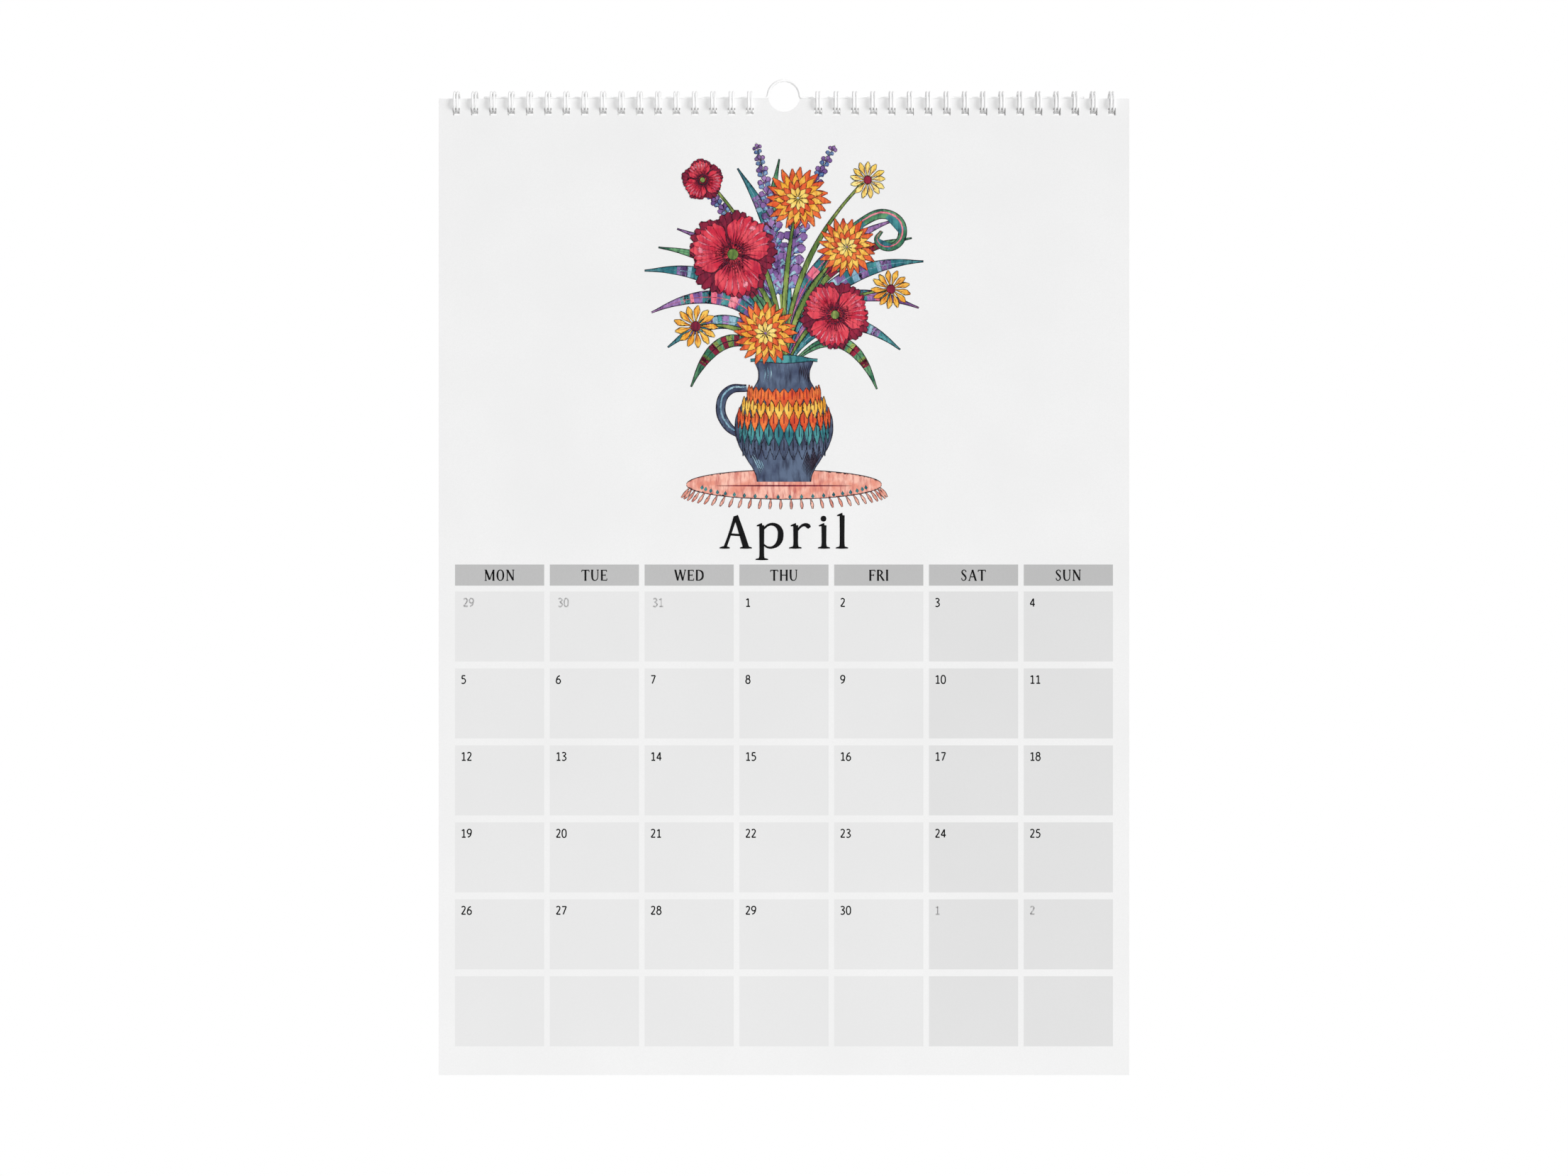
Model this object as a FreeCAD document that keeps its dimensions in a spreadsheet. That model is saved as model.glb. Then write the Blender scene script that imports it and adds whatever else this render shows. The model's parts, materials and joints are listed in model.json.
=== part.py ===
import FreeCAD, Part
import math
import os

import Sketcher

# Wall calendar on twin-loop wire, hung from a bent wire hanger. Millimetres.
# X runs to the right, Y away from the viewer and Z up. The origin is the hanging eye: the point inside the
# top of the hanger's hump that rests on the nail.

V = FreeCAD.Vector

# Each row: the name of a size, its value and what it measures.
DRIVING = (
    ("leaf_width", 297, "width of every sheet and of the board"),
    ("leaf_height", 420, "height of every sheet and of the board"),
    ("leaf_thickness", 0.2, "one sheet of heavy paper"),
    ("coming_count", 8, "sheets behind the month on show"),
    ("turned_count", 4, "sheets turned over to the back, with the cover"),
    ("card_thickness", 0.7, "grey board"),
    ("notch_radius", 6.9, "half-moon in the middle of the top edge"),
    ("notch_depth", 5.65, "how far the half-moon reaches down"),
    ("hole_side", 3.2, "square hole for a double loop"),
    ("hole_drop", 4.0, "top edge of a sheet to the top of its holes"),
    ("loop_first", 14.7, "middle of the calendar to the first double loop"),
    ("loop_pitch", 7.9, "one double loop to the next"),
    ("loop_margin", 5.5, "least distance from the outermost loop to the sheet's side"),
    ("loop_wire", 0.9, "thickness of the binding wire"),
    ("loop_radius", 4.45, "centre of a loop to the middle of its wire"),
    ("strand_gap", 1.37, "between the two strands of a double loop"),
    ("root_bend", 0.7, "bend where a strand leaves the back line"),
    ("end_stub", 1.2, "straight end of a binding wire past its last bend"),
    ("tip_gap", 0.1, "loop tips to the back line when closed"),
    ("seam_offset", 0.6, "back line behind the middle of the loops"),
    ("slip_gap", 0.05, "between pieces that lie on each other"),
    ("turn_gap", 0.35, "between the month on show and the sheets behind"),
    ("seat_gap", 0.04, "inside of the loops to the top of the holes"),
    ("hanger_wire", 1.3, "thickness of the hanger wire"),
    ("hanger_inset", 11.7, "end of the hanger wire short of the outermost loop"),
    ("hump_radius", 6.9, "middle of the wire round the hanging eye"),
    ("hump_rise", 0.7, "centre of the hump above the straight wire"),
    ("foot_bend", 1.3, "bend where the hump leaves the straight wire"),
    ("hanger_gap", 0.05, "hanger wire above the sheets"),
)

# Each row: the name of a worked-out size, its formula and what it measures.
WORKED_OUT = (
    ("loop_count", "=floor((leaf_width / 2 - loop_margin - loop_first) / loop_pitch) + 1",
     "double loops on each half of the binding"),
    ("hanger_length", "=2 * (loop_first + (loop_count - 1) * loop_pitch - hanger_inset)",
     "hanger wire from end to end"),
    ("loop_inside", "=loop_radius - loop_wire / 2", "inner radius of a loop"),
    ("coming_thickness", "=coming_count * leaf_thickness", "block of the coming months"),
    ("turned_thickness", "=turned_count * leaf_thickness", "block of the turned sheets"),
    ("card_back", "=seam_offset - loop_wire / 2 - slip_gap", "back of the board"),
    ("coming_back", "=card_back - card_thickness - slip_gap", "back of the coming block"),
    ("month_back", "=coming_back - coming_thickness - turn_gap", "back of the month on show"),
    ("turned_back", "=seam_offset + loop_wire / 2 + slip_gap * 2 + turned_thickness",
     "back of the turned block"),
    ("loop_centre", "=hanger_level - hanger_gap - hanger_wire / 2 - leaf_rise", "height of the loops' centre"),
    ("leaf_rise", "=hole_drop + seat_gap - sqrt(loop_inside ^ 2 - (month_back - leaf_thickness) ^ 2)",
     "top of the sheets above the loops' centre"),
    ("hanger_level", "=hanger_wire / 2 - hump_radius - hump_rise", "height of the straight hanger wire"),
    ("leaf_top", "=loop_centre + leaf_rise", "height of the sheets' top edge"),
)

LEAVES = (
    # label, thickness, place of the back face
    ("month_leaf", "leaf_thickness", "month_back"),
    ("coming_leaves", "coming_thickness", "coming_back"),
    ("back_card", "card_thickness", "card_back"),
    ("turned_leaves", "turned_thickness", "turned_back"),
)

WIRE_SIDES = 8  # flats round the section of the binding wire


def make_sizes(doc):
    """The sheet of sizes: driving ones as plain numbers, the others as formulas on them."""
    sizes = doc.addObject("Spreadsheet::Sheet", "sizes")
    for row, (name, value, meaning) in enumerate(DRIVING + WORKED_OUT, start=1):
        sizes.set(f"A{row}", name)
        sizes.set(f"B{row}", str(value))
        sizes.set(f"C{row}", meaning)
        sizes.setAlias(f"B{row}", name)
    doc.recompute()
    return sizes


def constrain(sketch, *rows):
    """Adds constraints. A row that ends in a formula is a size, bound to the sheet."""
    for row in rows:
        if not isinstance(row[-1], str) or len(row) == 1:
            sketch.addConstraint(Sketcher.Constraint(*row))
            continue
        index = sketch.addConstraint(Sketcher.Constraint(*row[:-1]))
        sketch.setExpression(f"Constraints[{index}]", row[-1])


def join_ends(sketch, pieces):
    """Joins each piece's end to the next one's start."""
    for this, after in zip(pieces, pieces[1:]):
        constrain(sketch, ("Coincident", this, 2, after, 1))


def new_sketch(body, name, role):
    """A sketch on one of the body's own origin planes."""
    sketch = body.newObject("Sketcher::SketchObject", name)
    plane = next(f for f in body.Origin.OriginFeatures if f.Role == role)
    sketch.AttachmentSupport = [(plane, "")]
    sketch.MapMode = "FlatFace"
    return sketch


def line(sketch, start, end):
    return sketch.addGeometry(Part.LineSegment(V(*start, 0), V(*end, 0)))


def arc(sketch, centre, radius, start, end):
    """An arc that runs anticlockwise between two angles."""
    return sketch.addGeometry(Part.ArcOfCircle(Part.Circle(V(*centre, 0), V(0, 0, 1), radius), start, end))


def leaf_outline(sketch, sizes):
    """The sheet with its half-moon, drawn down from the middle of the top edge."""
    half, drop = sizes.leaf_width / 2, sizes.leaf_height
    radius, lift = sizes.notch_radius, sizes.notch_radius - sizes.notch_depth
    lean = math.asin(lift / radius)
    mouth = radius * math.cos(lean)
    top_left = line(sketch, (-half, 0), (-mouth, 0))
    notch = arc(sketch, (0, lift), radius, math.pi + lean, 2 * math.pi - lean)
    top_right = line(sketch, (mouth, 0), (half, 0))
    right = line(sketch, (half, 0), (half, -drop))
    bottom = line(sketch, (half, -drop), (-half, -drop))
    left = line(sketch, (-half, -drop), (-half, 0))
    join_ends(sketch, [top_left, notch, top_right, right, bottom, left, top_left])
    constrain(
        sketch,
        ("Horizontal", top_left),
        ("Horizontal", top_right),
        ("Vertical", right),
        ("Vertical", left),
        ("Horizontal", bottom),
        ("PointOnObject", top_left, 1, -1),
        ("Symmetric", top_left, 1, top_right, 2, -2),
        ("PointOnObject", notch, 3, -2),
        ("Radius", notch, radius, "sizes.notch_radius"),
        ("DistanceY", -1, 1, notch, 3, lift, "sizes.notch_radius - sizes.notch_depth"),
        ("DistanceX", bottom, 2, bottom, 1, 2 * half, "sizes.leaf_width"),
        ("DistanceY", right, 2, right, 1, drop, "sizes.leaf_height"),
    )


def hole_outline(sketch, sizes):
    """The first square hole to the right of the middle."""
    side, top, middle = sizes.hole_side, -sizes.hole_drop, sizes.loop_first
    corners = [(middle + a * side / 2, top - b * side) for a, b in ((-1, 0), (1, 0), (1, 1), (-1, 1))]
    sides = [line(sketch, p, q) for p, q in zip(corners, corners[1:] + corners[:1])]
    join_ends(sketch, sides + sides[:1])
    constrain(
        sketch,
        ("Horizontal", sides[0]),
        ("Vertical", sides[1]),
        ("Horizontal", sides[2]),
        ("Vertical", sides[3]),
        ("DistanceX", sides[0], 1, sides[0], 2, side, "sizes.hole_side"),
        ("DistanceY", sides[1], 2, sides[1], 1, side, "sizes.hole_side"),
        ("DistanceX", -1, 1, sides[0], 1, middle - side / 2, "sizes.loop_first - sizes.hole_side / 2"),
        ("DistanceY", sides[0], 1, -1, 1, -top, "sizes.hole_drop"),
    )


def make_leaf(doc, sizes, label, thickness, back):
    """One sheet, board or block of sheets, with its half-moon and both rows of holes."""
    body = doc.addObject("PartDesign::Body", label)
    body.Label = label
    outline = new_sketch(body, f"{label}_outline", "XZ_Plane")
    leaf_outline(outline, sizes)
    pad = body.newObject("PartDesign::Pad", f"{label}_sheet")
    pad.Profile = outline
    pad.setExpression("Length", f"sizes.{thickness}")
    hole = new_sketch(body, f"{label}_hole", "XZ_Plane")
    hole_outline(hole, sizes)
    doc.recompute()
    pocket = body.newObject("PartDesign::Pocket", f"{label}_first_hole")
    pocket.Profile = hole
    pocket.Type = "ThroughAll"
    pocket.Reversed = True
    doc.recompute()
    rows = body.newObject("PartDesign::MultiTransform", f"{label}_holes")
    row = doc.addObject("PartDesign::LinearPattern", f"{label}_row")
    row.Direction = (hole, ["H_Axis"])
    row.setExpression("Length", "sizes.loop_pitch * (sizes.loop_count - 1)")
    row.setExpression("Occurrences", "sizes.loop_count")
    other_side = doc.addObject("PartDesign::Mirrored", f"{label}_other_side")
    other_side.MirrorPlane = (hole, ["V_Axis"])
    rows.Originals = [pocket]
    rows.Transformations = [row, other_side]
    body.addObject(row)
    body.addObject(other_side)
    body.Tip = rows
    body.setExpression("Placement.Base.y", f"sizes.{back}")
    body.setExpression("Placement.Base.z", "sizes.leaf_top")
    return body


def hanger_path(sketch, sizes):
    """The line of the hanger wire: straight, up round the hump and straight again."""
    half, hump, foot, rise = sizes.hanger_length / 2, sizes.hump_radius, sizes.foot_bend, sizes.hump_rise
    foot_x = math.sqrt((hump + foot) ** 2 - (foot - rise) ** 2)
    lean = math.atan2(foot - rise, foot_x)
    left = line(sketch, (-half, 0), (-foot_x, 0))
    left_foot = arc(sketch, (-foot_x, foot), foot, -math.pi / 2, -lean)
    over = arc(sketch, (0, rise), hump, lean, math.pi - lean)
    right_foot = arc(sketch, (foot_x, foot), foot, math.pi + lean, 1.5 * math.pi)
    right = line(sketch, (foot_x, 0), (half, 0))
    constrain(
        sketch,
        ("PointOnObject", left, 1, -1),
        ("Horizontal", left),
        ("PointOnObject", right, 1, -1),
        ("Horizontal", right),
        ("Tangent", left, 2, left_foot, 1),
        ("Tangent", left_foot, 2, over, 2),
        ("Tangent", over, 1, right_foot, 1),
        ("Tangent", right_foot, 2, right, 1),
        ("PointOnObject", over, 3, -2),
        ("Radius", over, hump, "sizes.hump_radius"),
        ("DistanceY", -1, 1, over, 3, rise, "sizes.hump_rise"),
        ("Radius", left_foot, foot, "sizes.foot_bend"),
        ("Radius", right_foot, foot, "sizes.foot_bend"),
        ("DistanceX", left, 1, -1, 1, half, "sizes.hanger_length / 2"),
        ("DistanceX", -1, 1, right, 2, half, "sizes.hanger_length / 2"),
    )


def make_hanger(doc, sizes):
    """The hanger: one round wire bent up into a hump over the half-moon."""
    body = doc.addObject("PartDesign::Body", "hanger_wire")
    body.Label = "hanger_wire"
    route = new_sketch(body, "hanger_route", "XZ_Plane")
    hanger_path(route, sizes)
    section = new_sketch(body, "hanger_section", "YZ_Plane")
    section.setExpression("AttachmentOffset.Base.z", "-sizes.hanger_length / 2")
    ring = section.addGeometry(Part.Circle(V(0, 0, 0), V(0, 0, 1), sizes.hanger_wire / 2))
    constrain(section, ("Coincident", ring, 3, -1, 1), ("Diameter", ring, sizes.hanger_wire, "sizes.hanger_wire"))
    doc.recompute()
    wire = body.newObject("PartDesign::AdditivePipe", "bent_wire")
    wire.Profile = section
    wire.Spine = (route, [f"Edge{n + 1}" for n in range(len(route.Shape.Edges))])
    body.setExpression("Placement.Base.z", "sizes.hanger_level")
    return body


def ring_point(sizes, x, angle, along):
    """A point of the loops, by its angle round them from the bottom towards the back.

    It is moved by a length along the tangent there.
    """
    s, c = math.sin(angle), math.cos(angle)
    return V(x, sizes.loop_radius * s + along * c, along * s - sizes.loop_radius * c)


def loop_angles(sizes):
    """Where a strand begins, past its root bend, and where it ends, before the tip's bend."""
    tip_bend = sizes.strand_gap / 2
    root_reach = math.hypot(sizes.loop_radius, sizes.root_bend)
    root = math.asin(sizes.seam_offset / root_reach)
    tip = root - (sizes.loop_wire + sizes.tip_gap) / root_reach
    start = root + math.atan2(sizes.root_bend, sizes.loop_radius)
    end = 2 * math.pi + tip - math.atan2(tip_bend, sizes.loop_radius)
    return start, end


def double_loop(sizes, x):
    """The edges of one double loop: root bend, strand, tip, strand back and root bend."""
    start, end = loop_angles(sizes)
    middle = (start + end) / 2
    tip_bend, bend = sizes.strand_gap / 2, sizes.root_bend
    edges = []
    for side in (-1, 1):
        strand = x + side * tip_bend
        corner = strand + side * bend
        slant = bend * math.sqrt(0.5)
        root = [
            ring_point(sizes, corner, start, -bend),
            ring_point(sizes, corner - side * slant, start, -slant),
            ring_point(sizes, strand, start, 0),
        ]
        loop = [ring_point(sizes, strand, a, 0) for a in (start, middle, end)]
        if side > 0:
            edges += [Part.Arc(*loop[::-1]).toShape(), Part.Arc(*root[::-1]).toShape()]
            continue
        tip = [loop[2], ring_point(sizes, x, end, tip_bend), ring_point(sizes, x + tip_bend, end, 0)]
        edges += [Part.Arc(*root).toShape(), Part.Arc(*loop).toShape(), Part.Arc(*tip).toShape()]
    return edges


def loop_route(sizes):
    """The line of the right-hand binding wire, from its inner end to its outer one."""
    stub = V(sizes.end_stub, 0, 0)
    edges, last = [], None
    for n in range(int(sizes.loop_count)):
        loop = double_loop(sizes, sizes.loop_first + n * sizes.loop_pitch)
        first = loop[0].Vertexes[0].Point
        edges += [Part.LineSegment(first - stub if last is None else last, first).toShape()] + loop
        last = loop[-1].Vertexes[-1].Point
    return Part.Wire(edges + [Part.LineSegment(last, last + stub).toShape()])


def make_right_loops(doc, sizes):
    """The right half of the binding: one wire through all its double loops."""
    route = doc.addObject("Part::Feature", "right_loop_route")
    route.Shape = loop_route(sizes)
    section = doc.addObject("Part::RegularPolygon", "right_loop_section")
    section.Polygon = WIRE_SIDES
    turn = 2 * math.pi / WIRE_SIDES
    section.setExpression("Circumradius", f"sizes.loop_wire / 2 * {math.sqrt(turn / math.sin(turn)):.6f}")
    section.Placement = FreeCAD.Placement(
        route.Shape.OrderedVertexes[0].Point, FreeCAD.Rotation(V(0, 0, 1), V(1, 0, 0)))
    loops = doc.addObject("Part::Sweep", "right_twin_loop_wire")
    loops.Label = "right_twin_loop_wire"
    loops.Sections = [section]
    loops.Spine = (route, [f"Edge{n + 1}" for n in range(len(route.Shape.Edges))])
    loops.Solid = True
    loops.Frenet = False
    loops.setExpression("Placement.Base.z", "sizes.loop_centre")
    return loops


def make_left_loops(doc, right):
    """The left half of the binding, the mirror image of the right half."""
    loops = doc.addObject("Part::Mirroring", "left_twin_loop_wire")
    loops.Label = "left_twin_loop_wire"
    loops.Source = right
    loops.Normal = V(1, 0, 0)
    return loops


def check(doc, pieces):
    """Stops if any object failed or any piece isn't one sound solid."""
    for item in doc.Objects:
        if "Invalid" in item.State or "Error" in item.State:
            raise RuntimeError(f"{item.Label} failed: {item.State}")
    for piece in pieces:
        shape = piece.Shape
        if shape.isNull() or not shape.isValid() or len(shape.Solids) != 1:
            raise RuntimeError(f"{piece.Label} isn't one valid solid")


def check_holes(leaf, sizes, thickness):
    """Stops if a sheet has lost more or less than its half-moon and its holes."""
    holes = 2 * sizes.loop_count * sizes.hole_side ** 2
    radius, lift = sizes.notch_radius, sizes.notch_radius - sizes.notch_depth
    notch = radius ** 2 * math.acos(lift / radius) - lift * math.sqrt(radius ** 2 - lift ** 2)
    expected = (sizes.leaf_width * sizes.leaf_height - holes - notch) * getattr(sizes, thickness)
    if abs(leaf.Shape.Volume - expected) > 1e-6 * expected:
        raise RuntimeError(f"{leaf.Label} has volume {leaf.Shape.Volume}, not {expected}")


def main():
    doc = FreeCAD.newDocument("wall_calendar")
    sizes = make_sizes(doc)
    leaves = [make_leaf(doc, sizes, *row) for row in LEAVES]
    hanger = make_hanger(doc, sizes)
    right = make_right_loops(doc, sizes)
    pieces = leaves + [hanger, right, make_left_loops(doc, right)]
    doc.recompute()
    check(doc, pieces)
    for leaf, (_, thickness, _) in zip(leaves, LEAVES):
        check_holes(leaf, sizes, thickness)
    os.makedirs("parts", exist_ok=True)
    for piece in pieces:
        piece.Shape.exportStep(f"parts/{piece.Label}.step")
        box = piece.Shape.BoundBox
        print(f"{piece.Label}: {piece.Shape.Volume:.1f} mm3, y {box.YMin:.2f} to {box.YMax:.2f}, "
              f"z {box.ZMin:.2f} to {box.ZMax:.2f}")


main()
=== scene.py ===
# %% [markdown]
# # A wall calendar on twin-loop wire
#
# A calendar like this is a block of printed sheets, a stiff board behind them, and two lengths of white wire
# bent into double loops. A third wire, the hanger, lies inside the loops and rises into a hump: the eye that
# goes on a nail. This lesson starts from the solids of those pieces, which hold every size, and gives them
# their looks: round lacquered wire, paper you can count the sheets of, and the print of the month.

# %% Load the solids
import json
import math
import random

import bpy
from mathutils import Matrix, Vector

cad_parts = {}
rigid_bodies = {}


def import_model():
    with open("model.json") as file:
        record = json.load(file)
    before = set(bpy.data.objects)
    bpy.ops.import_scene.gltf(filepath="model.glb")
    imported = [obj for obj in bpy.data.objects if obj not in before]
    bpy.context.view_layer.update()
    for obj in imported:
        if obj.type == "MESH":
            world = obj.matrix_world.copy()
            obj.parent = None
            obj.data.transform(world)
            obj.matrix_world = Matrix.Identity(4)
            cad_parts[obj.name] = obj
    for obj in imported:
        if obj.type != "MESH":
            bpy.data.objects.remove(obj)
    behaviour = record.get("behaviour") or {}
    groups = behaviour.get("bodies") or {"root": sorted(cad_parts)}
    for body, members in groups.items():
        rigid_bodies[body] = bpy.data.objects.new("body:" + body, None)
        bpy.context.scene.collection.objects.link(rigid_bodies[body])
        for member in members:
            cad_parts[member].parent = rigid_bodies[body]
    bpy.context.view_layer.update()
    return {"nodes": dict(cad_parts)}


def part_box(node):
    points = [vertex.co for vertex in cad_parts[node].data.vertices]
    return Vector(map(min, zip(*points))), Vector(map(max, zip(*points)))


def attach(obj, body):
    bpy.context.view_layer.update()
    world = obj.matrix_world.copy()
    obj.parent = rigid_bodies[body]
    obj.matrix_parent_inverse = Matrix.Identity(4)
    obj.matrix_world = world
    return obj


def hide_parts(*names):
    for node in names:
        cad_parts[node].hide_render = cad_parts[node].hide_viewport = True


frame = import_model()
MM = 0.001
print("solids:", ", ".join(sorted(frame["nodes"])))

# %% [markdown]
# Every place in the scene is worked out from the solids. The month's sheet gives the page: its top edge, its
# sides and the face that carries the print. The box of one binding wire gives the centre of the loops.

# %% Read the page and the loops off the solids
leaf_low, leaf_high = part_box("month_leaf")
PAGE_FACE = leaf_low.y
PAGE_TOP = leaf_high.z
PAGE_WIDTH = leaf_high.x - leaf_low.x
PAGE_HEIGHT = leaf_high.z - leaf_low.z
wire_low, wire_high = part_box("right_twin_loop_wire")
print(f"page {PAGE_WIDTH / MM:.0f} by {PAGE_HEIGHT / MM:.0f} mm, its face at y {PAGE_FACE / MM:.2f} mm")

# %% [markdown]
# ## Camera and light
#
# The photograph looks straight at the middle of the page, with much empty space at its sides and a little
# above and below. One pixel of its 2212 is 0.305 mm on the page, which fixes how wide the view is, and the
# lens follows from the distance.

# %% Camera
VIEW_WIDTH = 0.6744
VIEW_DISTANCE = 1.05
SENSOR = 36.0
PAGE_BELOW_MIDDLE = 0.0005

camera = bpy.data.objects.new("camera", bpy.data.cameras.new("camera"))
bpy.context.scene.collection.objects.link(camera)
camera.location = (0, PAGE_FACE - VIEW_DISTANCE, PAGE_TOP - PAGE_HEIGHT / 2 - PAGE_BELOW_MIDDLE)
camera.rotation_euler = (math.pi / 2, 0, 0)
camera.data.sensor_width = SENSOR
camera.data.lens = SENSOR * VIEW_DISTANCE / VIEW_WIDTH
bpy.context.scene.camera = camera
print(f"lens {camera.data.lens:.1f} mm at {VIEW_DISTANCE} m")

# %% [markdown]
# The room is plain white. The camera sees it pure white, but its light is weak in front and stronger behind.
# Two lamps light the page: one a little below the camera reaches into the punched holes and under the wires,
# and a broad one from the upper right throws each loop's soft shadow to its left. The other two light the
# back and, from straight above, the floor.

# %% Room and lamps
FRONT_LIGHT, BACK_LIGHT, SEEN_LIGHT = 0.12, 0.75, 1.0
# Each lamp's name, its strength, how many degrees wide it looks, and where it stands.
LAMPS = (
    ("front_lamp", 1.67, 16, (0.06, -1.0, -0.28)),
    ("side_lamp", 1.62, 24, (0.80, -0.52, 0.36)),
    ("back_lamp", 1.0, 30, (0.0, 1.0, -0.35)),
    ("top_lamp", 0.7, 12, (0.0, 0.0, 1.0)),
)


def spread_over(tree, value, low, high, start=0.0, stop=1.0):
    """A value from low to high, spread over the range from start to stop."""
    node = tree.nodes.new("ShaderNodeMapRange")
    for key, number in (("From Min", low), ("From Max", high), ("To Min", start), ("To Max", stop)):
        node.inputs[key].default_value = number
    tree.links.new(value, node.inputs["Value"])
    return node.outputs["Result"]


world = bpy.data.worlds.new("white_room")
bpy.context.scene.world = world
world.use_nodes = True
room = world.node_tree
background = room.nodes["Background"]
background.inputs["Color"].default_value = (1, 1, 1, 1)
facing = room.nodes.new("ShaderNodeTexCoord")
axes = room.nodes.new("ShaderNodeSeparateXYZ")
looked_at = room.nodes.new("ShaderNodeLightPath")
strength = room.nodes.new("ShaderNodeMix")
strength.inputs["B"].default_value = SEEN_LIGHT
room.links.new(facing.outputs["Generated"], axes.inputs["Vector"])
front_to_back = spread_over(room, axes.outputs["Y"], -1.0, 1.0, FRONT_LIGHT, BACK_LIGHT)
room.links.new(front_to_back, strength.inputs["A"])
room.links.new(looked_at.outputs["Is Camera Ray"], strength.inputs["Factor"])
room.links.new(strength.outputs["Result"], background.inputs["Strength"])

for name, power, width, place in LAMPS:
    lamp = bpy.data.objects.new(name, bpy.data.lights.new(name, "SUN"))
    bpy.context.scene.collection.objects.link(lamp)
    lamp.data.energy = power
    lamp.data.angle = math.radians(width)
    lamp.rotation_euler = Vector(place).to_track_quat("Z", "Y").to_euler()
bpy.context.scene.view_settings.view_transform = "Standard"
print("lamps:", [name for name, *_ in LAMPS])

# %% [markdown]
# ## Small helpers
#
# Blender's operators act on whatever is selected, so each step first clears the selection and then picks its
# own piece. These few helpers do that, apply modifiers, and give a ready piece its finish and its place in
# the table of moving bodies.

# %% Helpers for selecting and finishing
def only(piece):
    """Makes this the one selected and active object."""
    bpy.ops.object.select_all(action="DESELECT")
    piece.select_set(True)
    bpy.context.view_layer.objects.active = piece


def settle(piece):
    """Turns a piece into a mesh and puts its place into that mesh."""
    only(piece)
    bpy.ops.object.convert(target="MESH")
    bpy.ops.object.transform_apply(location=True, rotation=True, scale=True)
    return bpy.context.object


def modify(piece, kind, **settings):
    """Adds a modifier with its settings and applies it."""
    only(piece)
    modifier = piece.modifiers.new(kind.lower(), kind)
    for key, value in settings.items():
        setattr(modifier, key, value)
    bpy.ops.object.modifier_apply(modifier=modifier.name)


def repeat(piece, count, step, **settings):
    """Repeats a piece in a row, each one a step from the last."""
    modify(piece, "ARRAY", count=count, use_relative_offset=False, use_constant_offset=True,
           constant_offset_displace=step, **settings)


def dress(piece, name, material, body):
    """Names a piece, gives it its material and lets it ride on a body."""
    piece.name = piece.data.name = name
    piece.data.materials.clear()
    piece.data.materials.append(material)
    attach(piece, body)
    print(f"{name}: {len(piece.data.polygons)} faces on {body}")
    return piece


def wear(node, material):
    """Gives a solid that keeps its own mesh a better material."""
    for slot in frame["nodes"][node].material_slots:
        slot.material = material
    print(f"{node} wears {material.name}")


# %% [markdown]
# ## A floor
#
# The calendar hangs, so nothing touches the floor. It is a pale disc well below, small enough to stay out of
# the front view.

# %% Floor
FLOOR_DROP = 0.60
FLOOR_RADIUS = 0.70
FLOOR_THICKNESS = 0.01
FLOOR_SIDES = 128

bpy.ops.object.select_all(action="DESELECT")
bpy.ops.mesh.primitive_cylinder_add(
    vertices=FLOOR_SIDES, radius=FLOOR_RADIUS, depth=FLOOR_THICKNESS,
    location=(0, 0, leaf_low.z - FLOOR_DROP - FLOOR_THICKNESS / 2))
floor = settle(bpy.context.object)
floor.name = "floor"
print(f"floor {FLOOR_DROP / MM:.0f} mm below the calendar")

# %% [markdown]
# ## Finishes
#
# Paper, board and paint are never one flat colour. Two shared effects carry that: a fine random tooth that
# tints and roughens a surface, and long streaks such as a brush leaves. Each is a node group with named
# inputs, so every material can set its own scale and amount.

# %% Shared shader groups
TOOTH_RANGE = (0.12, 0.40)
POOL_RANGE = (0.38, 0.60)
STREAK_RANGE = (0.45, 0.75)
BRUSH_TURN = math.radians(38)
BRUSH_STRETCH = 0.22


def new_group(name, colours, numbers):
    """A shader group with these inputs, which gives a colour and a height, and its two end nodes."""
    group = bpy.data.node_groups.new(name, "ShaderNodeTree")
    for label in colours + numbers:
        kind = "NodeSocketColor" if label in colours else "NodeSocketFloat"
        group.interface.new_socket(name=label, in_out="INPUT", socket_type=kind)
    for label, kind in (("Color", "NodeSocketColor"), ("Height", "NodeSocketFloat")):
        group.interface.new_socket(name=label, in_out="OUTPUT", socket_type=kind)
    return group, group.nodes.new("NodeGroupInput"), group.nodes.new("NodeGroupOutput")


def mixed(tree, factor, low, high):
    """A colour between two others."""
    mix = tree.nodes.new("ShaderNodeMix")
    mix.data_type = "RGBA"
    for key, socket in (("Factor", factor), ("A", low), ("B", high)):
        tree.links.new(socket, [s for s in mix.inputs if s.name == key and s.enabled][0])
    return [s for s in mix.outputs if s.enabled][0]


def noise(tree, vector, scale, detail=4.0):
    """A noise texture on a vector."""
    node = tree.nodes.new("ShaderNodeTexNoise")
    node.inputs["Detail"].default_value = detail
    tree.links.new(vector, node.inputs["Vector"])
    tree.links.new(scale, node.inputs["Scale"])
    return node.outputs["Fac"]


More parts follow.
